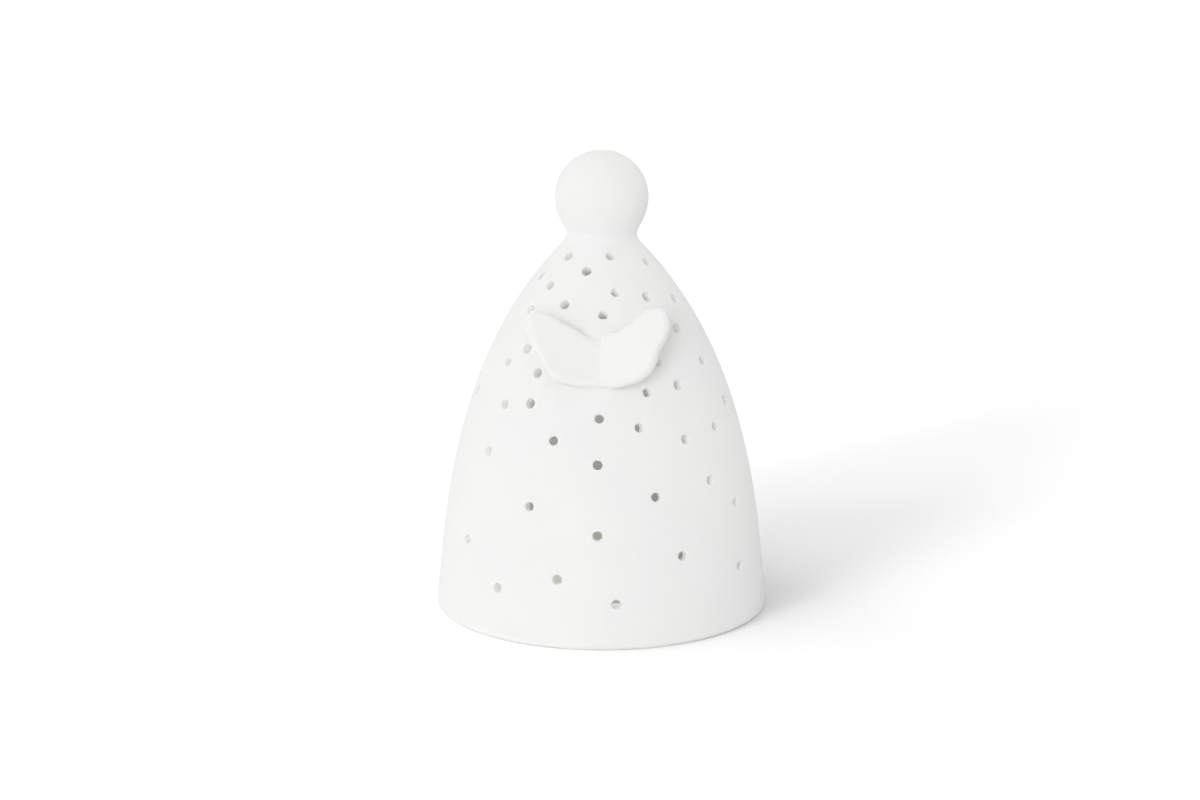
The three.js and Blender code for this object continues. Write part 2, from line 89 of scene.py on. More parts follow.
# one socket of a material, with the maths that the finishes use
class Value:
    def __init__(self, graph, socket):
        self.graph = graph
        self.socket = socket

    def maths(self, operation, first, second):
        node = self.graph.node("ShaderNodeMath", {"operation": operation}, {0: first, 1: second})
        return Value(self.graph, node.outputs[0])

    def __add__(self, other):
        return self.maths("ADD", self, other)

    def __radd__(self, other):
        return self.maths("ADD", other, self)

    def __sub__(self, other):
        return self.maths("SUBTRACT", self, other)

    def __rsub__(self, other):
        return self.maths("SUBTRACT", other, self)

    def __mul__(self, other):
        return self.maths("MULTIPLY", self, other)

    def __rmul__(self, other):
        return self.maths("MULTIPLY", other, self)

    def above(self, level):
        return self.maths("GREATER_THAN", self, level)


# the nodes of a material or of the room, and the one way to add any of them
class Graph:
    def __init__(self, owner):
        owner.use_nodes = True
        self.tree = owner.node_tree
        self.tree.nodes.clear()

    def node(self, kind, settings=None, inputs=None):
        made = self.tree.nodes.new(kind)
        for key, value in (settings or {}).items():
            if key == "stops":
                for i, (position, colour) in enumerate(value):
                    spare = made.color_ramp.elements
                    stop = spare[i] if i < len(spare) else spare.new(position)
                    stop.position = position
                    stop.color = (*colour, 1)
            else:
                setattr(made, key, value)
        for key, value in (inputs or {}).items():
            self.feed(made.inputs[key], value)
        return made

    def feed(self, socket, value):
        if isinstance(value, Value):
            value = value.socket
        if isinstance(value, bpy.types.NodeSocket):
            self.tree.links.new(value, socket)
        else:
            socket.default_value = value


# a material with a Principled shader
class Finish(Graph):
    def __init__(self, name, constants):
        self.material = bpy.data.materials.new(name)
        super().__init__(self.material)
        self.shader = self.node("ShaderNodeBsdfPrincipled", None, constants)
        surface = {"Surface": self.shader.outputs[0]}
        self.output = self.node("ShaderNodeOutputMaterial", None, surface)
        self.place = self.node("ShaderNodeTexCoord").outputs["Object"]

    def noise(self, scale, detail=2, rough=0.5, vector=None):
        node = self.node("ShaderNodeTexNoise", None, {
            "Vector": vector or self.place, "Scale": scale, "Detail": detail, "Roughness": rough})
        return Value(self, node.outputs[0])

    def spots(self, scale):
        node = self.node("ShaderNodeTexVoronoi", None, {"Vector": self.place, "Scale": scale})
        return Value(self, node.outputs["Distance"])

    def stretched(self, x, y, z):
        node = self.node("ShaderNodeMapping", None, {"Vector": self.place, "Scale": (x, y, z)})
        return node.outputs[0]

    def ramp(self, value, low, high):
        node = self.node("ShaderNodeMapRange", None, {
            "Value": value, "From Min": low, "From Max": high, "To Min": 0.0, "To Max": 1.0})
        return Value(self, node.outputs[0])

    def blend(self, factor, first, second):
        node = self.node("ShaderNodeMix", {"data_type": "RGBA"}, {
            0: factor, 6: (*first, 1) if isinstance(first, tuple) else first,
            7: (*second, 1) if isinstance(second, tuple) else second})
        return node.outputs[2]

    def bump(self, height, strength, distance, under=None):
        inputs = {"Height": height, "Strength": strength, "Distance": distance}
        if under is not None:
            inputs["Normal"] = under
        return self.node("ShaderNodeBump", None, inputs).outputs[0]

    def set(self, socket, value):
        self.feed(self.shader.inputs[socket], value)


def bisquePorcelain():
    look = {
        "clay": (0.905, 0.9, 0.89),
        "cool": (0.885, 0.886, 0.882),
        "speck": (0.8, 0.78, 0.74),
        "driftScale": 38,
        "spongeScale": 310,
        "speckScale": 260,
        "grainScale": 2600,
        "roughness": 0.7,
        "spongeHeight": 0.12 * mm,
        "grainHeight": 0.03 * mm,
        # painted glow, emission in place of the daylight that soaks through the wall: it shows in
        # the bores, from their mouths inwards, and on the inside, most low down and on the window's
        # side
        "wall": 3 * mm,
        "inside": (2.8 * mm, 2.95 * mm),
        "paintedSoakedGlow": (0.075, 0.0742, 0.072),
        "deep": (0.028, 0.0277, 0.0265),
        "through": (0.02, 0.0198, 0.019),
        "paintedGlowNear": (0.29, 0.287, 0.277),
        "reach": 32 * mm,  # either way from the middle
        "fromLeft": 0.4,  # by how much the window stands to the left
        "high": 90 * mm,
        "low": 10 * mm,
    }
    made = Finish("bisquePorcelain", {
        "Diffuse Roughness": 0.6, "Specular IOR Level": 0.35, "Emission Strength": 1})
    drift = made.ramp(made.noise(look["driftScale"], 3, 0.5), 0.35, 0.65)
    grain = made.noise(look["grainScale"], 2, 0.6)
    sponge = made.noise(look["spongeScale"], 4, 0.62)
    speck = made.ramp(made.spots(look["speckScale"]), 0.055, 0.03)
    body = made.blend(drift, look["clay"], look["cool"])
    made.set("Base Color", made.blend(speck * 0.35, body, look["speck"]))
    made.set("Roughness", look["roughness"] + drift * 0.08 + grain * 0.08)
    ridges = made.bump(sponge, 0.22, look["spongeHeight"])
    made.set("Normal", made.bump(grain, 0.3, look["grainHeight"], ridges))
    # painted glow: emission in the bores and on the inside stands in for light through the wall
    depth = made.node("ShaderNodeAttribute", {"attribute_name": "inward"}).outputs["Fac"]
    stops = [(0.06, (0, 0, 0)), (0.22, look["paintedSoakedGlow"]), (0.94, look["deep"])]
    share = made.ramp(depth, 0, look["wall"])
    bore = made.node("ShaderNodeValToRGB", {"stops": stops}, {0: share}).outputs[0]
    axes = made.node("ShaderNodeSeparateXYZ", None, {0: made.place}).outputs
    across, along = Value(made, axes["X"]), Value(made, axes["Y"])
    # painted light: the glow is made stronger on the window's side and low down
    near = made.ramp(along + across * look["fromLeft"], look["reach"], -look["reach"])
    low = 0.1 + made.ramp(axes["Z"], look["high"], look["low"]) * 0.9
    bore = made.blend(0.45 + near * 0.55, (0, 0, 0), bore)
    inside = made.blend(near * low, look["through"], look["paintedGlowNear"])
    made.set("Emission Color", made.blend(made.ramp(depth, *look["inside"]), bore, inside))
    return made.material


def siliconeRubber():
    look = {
        "clean": (0.74, 0.76, 0.76),
        "dusty": (0.82, 0.82, 0.8),
        "dustScale": 420,
        "skinScale": 1800,
        "skinHeight": 0.02 * mm,
        "roughness": 0.38,
        "depth": 2 * mm,
    }
    made = Finish("siliconeRubber", {
        "Subsurface Weight": 0.35, "Subsurface Scale": look["depth"],
        "Subsurface Radius": (1, 0.95, 0.9)})
    dust = made.ramp(made.noise(look["dustScale"], 4, 0.6), 0.45, 0.72)
    skin = made.noise(look["skinScale"], 2)
    made.set("Base Color", made.blend(dust, look["clean"], look["dusty"]))
    made.set("Roughness", look["roughness"] + dust * 0.22)
    made.set("Normal", made.bump(skin, 0.15, look["skinHeight"]))
    return made.material


def mouldedPlastic(name, pale, dull, roughness):
    look = {"sparkScale": 3400, "driftScale": 90, "scuffScale": 240, "sparkHeight": 0.03 * mm}
    made = Finish(name, {"Specular IOR Level": 0.5})
    spark = made.noise(look["sparkScale"], 2, 0.7)
    drift = made.noise(look["driftScale"], 2)
    scuff = made.noise(look["scuffScale"], 5, 0.7, made.stretched(1, 3.5, 1))
    scuff = made.ramp(scuff, 0.56, 0.72)
    made.set("Base Color", made.blend(drift * 0.6 + scuff * 0.3, pale, dull))
    made.set("Roughness", roughness + spark * 0.12 + scuff * 0.1)
    made.set("Normal", made.bump(spark, 0.35, look["sparkHeight"]))
    return made.material


def platedMetal(name, bright, dull, roughness, stretch):
    look = {"brushScale": 900, "tarnishScale": 190, "brushHeight": 0.012 * mm}
    made = Finish(name, {"Metallic": 1.0})
    brush = made.noise(look["brushScale"], 3, 0.6, made.stretched(*stretch))
    tarnish = made.ramp(made.noise(look["tarnishScale"], 3, 0.5), 0.5, 0.85)
    made.set("Base Color", made.blend(tarnish, bright, dull))
    made.set("Roughness", roughness + brush * 0.14 + tarnish * 0.12)
    made.set("Normal", made.bump(brush, 0.2, look["brushHeight"]))
    return made.material


def solderMask():
    look = {
        "mask": (0.022, 0.11, 0.045),
        "weave": (0.03, 0.13, 0.055),
        "copper": (0.045, 0.17, 0.07),
        "trackScale": 120,
        "weaveScale": 1500,
        "trackHeight": 0.03 * mm,
        "roughness": 0.32,
    }
    made = Finish("solderMask", {"Coat Weight": 0.5, "Coat Roughness": 0.2})
    tracks = made.node("ShaderNodeTexWave", {"wave_type": "RINGS", "rings_direction": "Z"}, {
        "Vector": made.place, "Scale": look["trackScale"], "Distortion": 2.2, "Detail": 1.0})
    onTrack = Value(made, tracks.outputs["Fac"]).above(0.62)
    weave = made.noise(look["weaveScale"], 2)
    board = made.blend(weave, look["mask"], look["weave"])
    made.set("Base Color", made.blend(onTrack, board, look["copper"]))
    made.set("Roughness", look["roughness"] + weave * 0.16)
    made.set("Normal", made.bump(onTrack, 0.4, look["trackHeight"]))
    return made.material


def castResin():
    look = {
        "clear": (0.96, 0.93, 0.84),
        "cloud": (0.93, 0.88, 0.74),
        "glow": (0.12, 0.116, 0.104, 1),  # painted glow: the unlit lens shines as if it gathered the daylight in the bell
        "cloudScale": 500,
        "skinScale": 900,
        "skinHeight": 0.01 * mm,
        "roughness": 0.06,
    }
    made = Finish("castResin", {
        "Transmission Weight": 0.3, "IOR": 1.52, "Emission Color": look["glow"],
        "Emission Strength": 1})
    cloud = made.noise(look["cloudScale"], 3)
    made.set("Base Color", made.blend(cloud, look["clear"], look["cloud"]))
    made.set("Roughness", look["roughness"] + cloud * 0.1)
    made.set("Normal", made.bump(made.noise(look["skinScale"], 2), 0.05, look["skinHeight"]))
    return made.material


porcelain = bisquePorcelain()
silicone = siliconeRubber()
# the fresh and the worn colour, the roughness, and for metal how the brush marks are stretched
housingPlastic = mouldedPlastic("housingPlastic", (0.86, 0.86, 0.84), (0.8, 0.8, 0.77), 0.4)
switchPlastic = mouldedPlastic("switchPlastic", (0.018, 0.018, 0.02), (0.03, 0.03, 0.032), 0.38)
nickel = platedMetal("nickel", (0.66, 0.64, 0.6), (0.58, 0.555, 0.51), 0.2, (6, 1, 1))
zincSteel = platedMetal("zincSteel", (0.6, 0.61, 0.62), (0.42, 0.42, 0.42), 0.26, (1, 1, 5))
greenBoard = solderMask()
resin = castResin()
print("finishes made")


# mesh helpers
def objectFrom(name, bm):
    mesh = bpy.data.meshes.new(name)
    bm.to_mesh(mesh)
    bm.free()
    made = bpy.data.objects.new(name, mesh)
    bpy.context.collection.objects.link(made)
    return made


def bmeshFrom(thing):
    depsgraph = bpy.context.evaluated_depsgraph_get()
    result = bmesh.new()
    result.from_mesh(bpy.data.meshes.new_from_object(thing.evaluated_get(depsgraph)))
    bpy.data.objects.remove(thing)
    return result


def turned(points, steps=96):
    bm = bmesh.new()
    verts = [bm.verts.new((x, 0, z)) for x, z in points]
    edges = [bm.edges.new(pair) for pair in zip(verts, verts[1:])]
    bmesh.ops.spin(bm, geom=verts + edges, cent=(0, 0, 0), axis=(0, 0, 1), angle=math.tau,
                   steps=steps, use_merge=True)
    bmesh.ops.remove_doubles(bm, verts=bm.verts, dist=hair)
    bmesh.ops.recalc_face_normals(bm, faces=bm.faces)
    return bm


def disc(radius, low, high, x=0, y=0, steps=32):
    bm = bmesh.new()
    bmesh.ops.create_cone(bm, cap_ends=True, segments=steps, radius1=radius, radius2=radius,
                          depth=high - low, matrix=Matrix.Translation((x, y, (low + high) / 2)))
    return bm


def slab(length, width, low, high, x=0, y=0):
    bm = bmesh.new()
    shape = Matrix.Diagonal((length, width, high - low, 1))
    bmesh.ops.create_cube(bm, size=1, matrix=Matrix.Translation((x, y, (low + high) / 2)) @ shape)
    return bm


def combine(bm, tool, operation):
    body = objectFrom("body", bm)
    cutter = objectFrom("cutter", tool)
    cut = body.modifiers.new("cut", "BOOLEAN")
    cut.operation = operation
    cut.solver = "MANIFOLD"
    cut.object = cutter
    result = bmeshFrom(body)
    bpy.data.objects.remove(cutter)
    return result


def cutBy(bm, *tools):
    for tool in tools:
        bm = combine(bm, tool, "DIFFERENCE")
    return bm


def joinedTo(bm, *others):
    for other in others:
        bm = combine(bm, other, "UNION")
    return bm


def together(*parts):
    whole = bmesh.new()
    for part in parts:
        loose = bpy.data.meshes.new("loose")
        part.to_mesh(loose)
        part.free()
        whole.from_mesh(loose)
        bpy.data.meshes.remove(loose)
    return whole


def easeEdges(bm, width, angle=40, segments=2):
    body = objectFrom("body", bm)
    ease = body.modifiers.new("ease", "BEVEL")
    ease.width = width
    ease.segments = segments
    ease.limit_method = "ANGLE"
    ease.angle_limit = math.radians(angle)
    ease.use_clamp_overlap = True
    return bmeshFrom(body)


def finishPiece(name, bm, material, body, nodes=(), sharp=32):
    bmesh.ops.remove_doubles(bm, verts=bm.verts, dist=sliver)
    bmesh.ops.recalc_face_normals(bm, faces=bm.faces)
    for face in bm.faces:
        face.smooth = True
    for edge in bm.edges:
        if len(edge.link_faces) == 2 and edge.calc_face_angle(0) > math.radians(sharp):
            edge.smooth = False
    piece = objectFrom(name, bm)
    piece.data.materials.append(material)
    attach(piece, body)
    if nodes:
        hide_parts(*nodes)
    return piece


def arc(centre, radius, start, end, count):
    points = []
    for i in range(count + 1):
        angle = math.radians(start + (end - start) * i / count)
        points.append((centre[0] + radius * math.cos(angle), centre[1] + radius * math.sin(angle)))
    return points


# the pierced bell, neck and head
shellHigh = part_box("porcelain_shell")[1]
shell = {
    "radius": shellHigh.x,
    "height": shellHigh.z,
    "wall": 3 * mm,
    "footRounding": 1.1 * mm,
    "footRing": 3.4 * mm,
    "recess": 3 * mm,
    "floor": 3 * mm,
    "holeEdge": 22.5 * mm,
    "hemSlope": 7.7,  # degrees, as the slopes and angles below are
    "hemHandleShare": 0.185,
    "shoulderRadius": 9.5 * mm,
    "shoulderHeight": 87.9 * mm,
    "shoulderSlope": 44,
    "shoulderHandleShare": 0.461,
    "headRadius": 11.1 * mm,
    "jawRadius": 26 * mm,
    "jawTop": 23,
    "jawEnd": 30,
    "steps": 192,
}


def meeting(point, along, other, otherAlong):
    side = Vector((-otherAlong.y, otherAlong.x))
    return point + along * ((other - point).dot(side) / along.dot(side))


def bezier(a, b, c, d, count):
    flat = [Vector((p.x, p.y, 0)) for p in (a, b, c, d)]
    return [(p.x, p.y) for p in geometry.interpolate_bezier(*flat, count + 1)]


def bellCurve(count):
    rise = shell["shoulderHeight"] - shell["footRounding"]
    hem = Vector((shell["radius"], shell["footRounding"]))
    hemTurn = math.radians(shell["hemSlope"])
    hemAlong = Vector((-math.sin(hemTurn), math.cos(hemTurn)))
    shoulder = Vector((shell["shoulderRadius"], shell["shoulderHeight"]))
    shoulderTurn = math.radians(shell["shoulderSlope"])
    shoulderAlong = Vector((-math.sin(shoulderTurn), math.cos(shoulderTurn)))
    hemHandle = hem + hemAlong * shell["hemHandleShare"] * rise
    shoulderHandle = shoulder - shoulderAlong * shell["shoulderHandleShare"] * rise
    return bezier(hem, hemHandle, shoulderHandle, shoulder, count), shoulder, shoulderAlong


def outline(bellCount, neckCount, jawCount, headCount):
    bell, shoulder, shoulderAlong = bellCurve(bellCount)
    headCentre = Vector((0, shell["height"] - shell["headRadius"]))
    jawTop = math.radians(-shell["jawTop"])
    inward = shell["headRadius"] - shell["jawRadius"]
    jawCentre = headCentre + Vector((math.cos(jawTop), math.sin(jawTop))) * inward
    jaw = arc(jawCentre, shell["jawRadius"], -shell["jawEnd"], -shell["jawTop"], jawCount)
    head = arc(headCentre, shell["headRadius"], -shell["jawTop"], 90, headCount)
    chin = Vector(jaw[0])
    chinTurn = math.radians(-shell["jawEnd"])
    nape = meeting(shoulder, shoulderAlong, chin, Vector((-math.sin(chinTurn), math.cos(chinTurn))))
    neck = bezier(shoulder, shoulder.lerp(nape, 2 / 3), chin.lerp(nape, 2 / 3), chin, neckCount)
    points = bell + neck[1:] + jaw[1:] + head[1:]
    points[-1] = (0, shell["height"])
    return points


def movedIn(points, inset):
    moved = []
    for i, (x, z) in enumerate(points):
        before = Vector(points[max(i - 1, 0)])
        after = Vector(points[min(i + 1, len(points) - 1)])
        along = (after - before).normalized()
        moved.append((x - along.y * inset, z + along.x * inset))
    moved[-1] = (0, points[-1][1] - inset)
    return moved


piercings = {
    "radius": 1.13 * mm,
    "flare": 0.25 * mm,
    "sizeSpread": 0.05,
    "beyond": 1.2 * mm,  # how far the awl comes out on the inside
    "lip": 0.02 * mm,  # by how much the bore is narrower than its rim
    "steps": 20,
    "awl": (0, -1, 0.3),  # where the maker's hand was, for the back
    # bearing from the back in degrees, share of the shoulder's height, and by how many degrees
    # the bore turns from the wall's normal towards the hand
    "scatter": [
        (-44, 0.978, 0), (11.5, 0.984, -5), (-15, 0.948, 8), (57.5, 0.962, 0), (-67, 0.923, 0),
        (-47, 0.906, 8), (11, 0.899, -8), (36, 0.882, 2), (64, 0.864, 2), (-27, 0.867, 5),
        (1, 0.846, 0), (-55, 0.842, 0), (50.5, 0.798, 4), (-44, 0.751, -5), (-55, 0.708, 0),
        (-33, 0.698, 3), (29.5, 0.726, 0), (62, 0.705, 6), (-77, 0.612, 0), (-48, 0.607, 0),
        (-33.5, 0.622, 9), (21.5, 0.656, 3), (38.5, 0.663, 3), (70.5, 0.592, 0), (-1, 0.595, 0),
        (16, 0.571, -4), (36.5, 0.529, 5), (55.5, 0.541, 2), (-20, 0.536, 14), (-51.5, 0.484, -8),
        (-1.5, 0.481, 3), (46, 0.411, 5), (59.5, 0.336, 6), (20.5, 0.392, 13), (-27.5, 0.364, 8),
        (-56.5, 0.239, -2), (-1.5, 0.3, 0), (29.5, 0.232, 14), (57.5, 0.165, 7), (-38.5, 0.138, 0),
        (-15.5, 0.183, 6), (5, 0.121, 0),
    ],
    "sides": [
        (104, 0.8), (99, 0.715), (97, 0.49), (106, 0.43), (96, 0.325), (107, 0.27), (95, 0.15),
        (-108, 0.9), (-102, 0.77), (-106, 0.685), (-96, 0.5), (-95, 0.385), (-104, 0.33),
        (-94, 0.22), (-104, 0.125),
    ],
    "front": [(184, 0.745), (167, 0.775), (196, 0.815), (171, 0.68)],
}


def castShell():
    outer = outline(84, 12, 6, 30)
    wall = shell["wall"]
    floorTop = shell["recess"] + shell["floor"]
    inner = [p for p in movedIn(outline(40, 8, 4, 16), wall) if p[1] > floorTop + wall]
    corner = (inner[0][0] - wall, floorTop + wall)
    ring = shell["radius"] - shell["footRing"]
    ease = shell["footRounding"] / 2
    profile = inner[::-1] + arc(corner, wall, 0, -90, 6)
    profile += [(shell["holeEdge"] + ease, floorTop)]
    profile += arc((shell["holeEdge"] + ease, floorTop - ease), ease, 90, 180, 3)[1:]
    profile += arc((shell["holeEdge"] + ease, shell["recess"] + ease), ease, 180, 270, 3)
    profile += arc((ring - 2 * ease, shell["recess"] - 2 * ease), 2 * ease, 90, 0, 5)
    profile += arc((ring + ease, ease), ease, 180, 270, 4)
    foot = shell["footRounding"]
    profile += arc((shell["radius"] - foot, foot), foot, -90, 0, 6)[:-1] + outer
    return turned(profile, shell["steps"])


def holeTools(radius):  # the bore, and the soft rim that the sponge leaves
    flare = piercings["flare"]
    low = -shell["wall"] - piercings["beyond"]
    bore = disc(radius - piercings["lip"], low, flare, steps=piercings["steps"])
    profile = [(0, -2 * flare), (radius, -2 * flare)]
    profile += arc((radius + flare, -flare), flare, 180, 90, 5)
    profile += [(radius + 1.4 * flare, flare), (0, flare)]
    return bore, turned(profile, piercings["steps"])


def pierceShell(bm):
    shaky = random.Random(7)
    hand = Vector(piercings["awl"]).normalized()
    bell = bellCurve(400)[0]
    bores, rims = [], []
    plain = [(bearing, share, 0) for bearing, share in piercings["sides"] + piercings["front"]]
    holes = [(0, *hole) for hole in piercings["scatter"] + plain]
    holes += [(180, *hole) for hole in piercings["scatter"]]
    for half, bearing, share, turn in holes:
        i = next(i for i, p in enumerate(bell) if p[1] >= share * shell["shoulderHeight"])
        along = Vector(bell[i]) - Vector(bell[i - 1])
        side = Matrix.Rotation(math.radians(bearing - 90), 4, "Z")
        normal = side @ Vector((along.y, 0, -along.x)).normalized()
        aim = normal.slerp(hand, math.radians(turn) / normal.angle(hand))
        place = Matrix.Rotation(math.radians(half), 4, "Z") @ Matrix.Translation(
            side @ Vector((bell[i][0], 0, bell[i][1])))
        size = piercings["radius"] * (1 + shaky.uniform(-1, 1) * piercings["sizeSpread"])
        for tool, way, tools in zip(holeTools(size), (aim, normal), (bores, rims)):
            turnTo = way.to_track_quat("Z", "Y").to_matrix().to_4x4()
            bmesh.ops.transform(tool, matrix=place @ turnTo, verts=tool.verts)
            tools.append(tool)
    return cutBy(bm, together(*rims), together(*bores))


shellPiece = finishPiece("porcelainShell", pierceShell(castShell()), porcelain,
                         "figure", ["porcelain_shell"])


def markInside(piece):  # how deep in the wall each point lies, for the painted glow in the finish
    points = outline(400, 60, 30, 150)
    near = kdtree.KDTree(len(points))
    for i, (x, z) in enumerate(points):
        near.insert((x, 0, z), i)
    near.balance()
    depths = []
    for vert in piece.data.vertices:
        distance = near.find((vert.co.xy.length, 0, vert.co.z))[2]
        depths.append(distance if vert.co.z > shell["recess"] + shell["floor"] / 2 else 0)
    piece.data.attributes.new("inward", "FLOAT", "POINT").data.foreach_set("value", depths)


markInside(shellPiece)
print("shell pierced:", len(shellPiece.data.polygons), "faces")

# the pair of wings, pressed in a mould and luted to the back with slip
wings = {
    "span": 17 * mm,
    "rise": 17 * mm,
    "thickness": 3.6 * mm,
    "rim": 1.3 * mm,
    "footHeight": 60.6 * mm,
    "bearing": -1.3,  # degrees, as turn, lean and fold are
    "turn": -7,
    "lean": 24,
    "fold": 14,
    # the slip at the crease's head: its place and radii in mm
    "slip": ((0, 11, -4.6), (4.2, 3.8, 3.3)),
    "voxel": 0.28 * mm,
    "rubbing": 26,  # rounds with the sponge
    # the patch that is rubbed longer: its place and radius in mm, and the rounds
    "blended": ((0, 11.6, -2.4), 6.2, 45),
    "blendShares": (1, 0.82, 0.64),  # of that radius, one after the other
    # the block of the bell that carries the wings: length, width, low, high and place
    "seat": (52 * mm, 30 * mm, 50 * mm, 86 * mm, 0, -27 * mm),
    "past": 80 * mm,  # larger than the whole pair
    "leftWing": [
        (0, -0.02), (0.24, -0.04), (0.52, 0.01), (0.69, 0.12), (0.78, 0.27), (0.89, 0.46),
        (1, 0.64), (1.02, 0.78), (0.99, 0.9), (0.93, 0.96), (0.83, 0.95), (0.62, 0.87),
        (0.33, 0.74), (0, 0.62),
    ],
    "rightWing": [
        (0, -0.02), (0.21, -0.04), (0.35, -0.01), (0.54, 0.05), (0.7, 0.17), (0.78, 0.34),
        (0.82, 0.49), (0.89, 0.61), (0.93, 0.75), (0.92, 0.9), (0.87, 1), (0.8, 1.04),
        (0.6, 1.01), (0.49, 0.92), (0.36, 0.82), (0.22, 0.75), (0.08, 0.69), (0, 0.63),
    ],
}


def pairMatrix():
    radius = next(x for x, z in bellCurve(100)[0] if z >= wings["footHeight"])
    bearing = math.radians(wings["bearing"])
    out = radius + wings["thickness"]
    place = (math.sin(bearing) * out, -math.cos(bearing) * out, wings["footHeight"])
    turn = Matrix.Rotation(math.radians(wings["turn"]), 4, "Z")
    lean = Matrix.Rotation(math.radians(90 - wings["lean"]), 4, "X")
    return Matrix.Translation(place) @ turn @ lean


def wingPlate(shares, side):
    points = [(side * out * wings["span"], up * wings["rise"]) for out, up in shares]
    beyond = -side * 2 * wings["thickness"]
    points = [(beyond, points[0][1])] + points + [(beyond, points[-1][1])]
    drawing = bpy.data.curves.new("wing", "CURVE")
    drawing.dimensions = "2D"
    drawing.fill_mode = "BOTH"
    drawing.extrude = wings["thickness"] / 2 - wings["rim"]
    drawing.bevel_depth = wings["rim"]
    drawing.bevel_resolution = 5
    drawing.offset = -wings["rim"]
    line = drawing.splines.new("BEZIER")
    line.bezier_points.add(len(points) - 1)
    line.use_cyclic_u = True
    line.resolution_u = 8
    for knot, (x, y) in zip(line.bezier_points, points):
        knot.co = (x, y, 0)
        kind = "VECTOR" if x == beyond else "AUTO"
        knot.handle_left_type = knot.handle_right_type = kind
    plate = bpy.data.objects.new("wing", drawing)
    bpy.context.collection.objects.link(plate)
    bm = bmeshFrom(plate)
    bmesh.ops.translate(bm, vec=(0, 0, -wings["thickness"] / 2), verts=bm.verts)
    bmesh.ops.remove_doubles(bm, verts=bm.verts, dist=hair)
    return bm


def sponged(bm, voxel, rounds):
    body = objectFrom("body", bm)
    skin = body.modifiers.new("skin", "REMESH")
    skin.mode = "VOXEL"
    skin.voxel_size = voxel
    rub = body.modifiers.new("rub", "SMOOTH")
    rub.factor = 0.5
    rub.iterations = rounds
    return bmeshFrom(body)


def rubbed(bm, centre, radius, rounds):
    for share in wings["blendShares"]:
        near = [vert for vert in bm.verts if (vert.co - centre).length < share * radius]
        for i in range(rounds):
            bmesh.ops.smooth_vert(bm, verts=near, factor=0.5, use_axis_x=True, use_axis_y=True,
                                  use_axis_z=True)
    return bm


def largestPart(bm):
    waiting = set(bm.verts)
    parts = []
    while waiting:
        part, edge = set(), [waiting.pop()]
        while edge:
            vert = edge.pop()
            part.add(vert)
            near = {link.other_vert(vert) for link in vert.link_edges} & waiting
            waiting -= near
            edge.extend(near)
        parts.append(part)
    parts.sort(key=len)
    bmesh.ops.delete(bm, geom=[vert for part in parts[:-1] for vert in part], context="VERTS")
    return bm


def bellSolid():
    return turned([(0, 0), (shell["radius"], 0)] + outline(84, 12, 6, 30), shell["steps"])


def backOfBell():
    return combine(bellSolid(), slab(*wings["seat"]), "INTERSECT")


def wingPiece(name, node, side):
    pair = pairMatrix()
    fold = Matrix.Rotation(-side * math.radians(wings["fold"]), 4, "Y")
    plate = wingPlate(wings[name], side)
    bmesh.ops.transform(plate, matrix=pair @ fold, verts=plate.verts)
    (x, y, z), radii = wings["slip"]
    slip = bmesh.new()
    shape = Matrix.Translation((x * mm, y * mm, z * mm)) @ Matrix.Diagonal((*radii, 1))
    bmesh.ops.create_uvsphere(slip, u_segments=32, v_segments=16, radius=mm, matrix=pair @ shape)
    bm = sponged(together(plate, slip, backOfBell()), wings["voxel"], wings["rubbing"])
    spot, across, rounds = wings["blended"]
    bm = rubbed(bm, pair @ (Vector(spot) * mm), across * mm, rounds)
    past = wings["past"]
    otherSide = slab(past, 2 * past, -past, past, -side * past / 2, 0)
    bmesh.ops.transform(otherSide, matrix=pair, verts=otherSide.verts)
    bm = largestPart(cutBy(bm, otherSide, bellSolid()))
    return finishPiece(name, bm, porcelain, "figure", [node], sharp=50)


wingPiece("leftWing", "left_wing", -1)
wingPiece("rightWing", "right_wing", 1)
print("wings luted on")


# the battery lamp; heights are from the table, and fitting places are from its middle
lamp = {
    "underside": 1.1 * mm,
    "flangeTop": 2.7 * mm,
    "flangeRadius": 26 * mm,
    "radius": 19.6 * mm,
    "inside": 18 * mm,
    "floorTop": 4.1 * mm,
    "wellOuter": 12 * mm,
    "wellRadius": 10.6 * mm,
    "wellCeiling": 8 * mm,
    "wellTop": 9.2 * mm,
    "seam": 12.1 * mm,
    "fitting": 15 * mm,
    "screwHole": 1.3 * mm,
    "ear": 2.9 * mm,
    "gap": 0.3 * mm,
    "beyond": mm,  # how far a cutter reaches past what it cuts
    "softFrom": 50,  # degrees; flatter edges aren't softened
    "steps": 128,
    "smallSteps": 96,
}
# the rubber ring that grips the porcelain
ring = {
    "inside": 19.9 * mm,
    "root": 21.7 * mm,
    "crest": 22.2 * mm,
    "low": 3 * mm,
    "high": 7.5 * mm,
    "rounding": 0.3 * mm,
    "ribs": 2,
    "points": 92,  # up the ribbed side
}


def gripRing():
    inside, root, low, high = ring["inside"], ring["root"], ring["low"], ring["high"]
    ease, count = ring["rounding"], ring["points"]
    pitch = (high - low) / ring["ribs"]
    points = [(inside, high - ease), (inside, low + ease)]
    points += arc((inside + ease, low + ease), ease, 180, 270, 4)[1:]
    points += arc((root - ease, low + ease), ease, 270, 360, 4)
    for i in range(1, count):
        z = low + ease + i * (high - low - 2 * ease) / count
        lift = math.sin(math.pi * ((z - low) / pitch % 1)) ** 4
        points.append((root + lift * (ring["crest"] - root), z))
    points += arc((root - ease, high - ease), ease, 0, 90, 4)
    points += arc((inside + ease, high - ease), ease, 90, 180, 4)
    return turned(points, lamp["steps"])


def doorForm(grow, low, high):
    ear = lamp["ear"] + grow
    lid = disc(lamp["wellOuter"] + grow, low, high, steps=lamp["smallSteps"])
    neck = slab(2 * ear, lamp["fitting"], low, high, 0, -lamp["fitting"] / 2)
    return joinedTo(lid, neck, disc(ear, low, high, 0, -lamp["fitting"]))


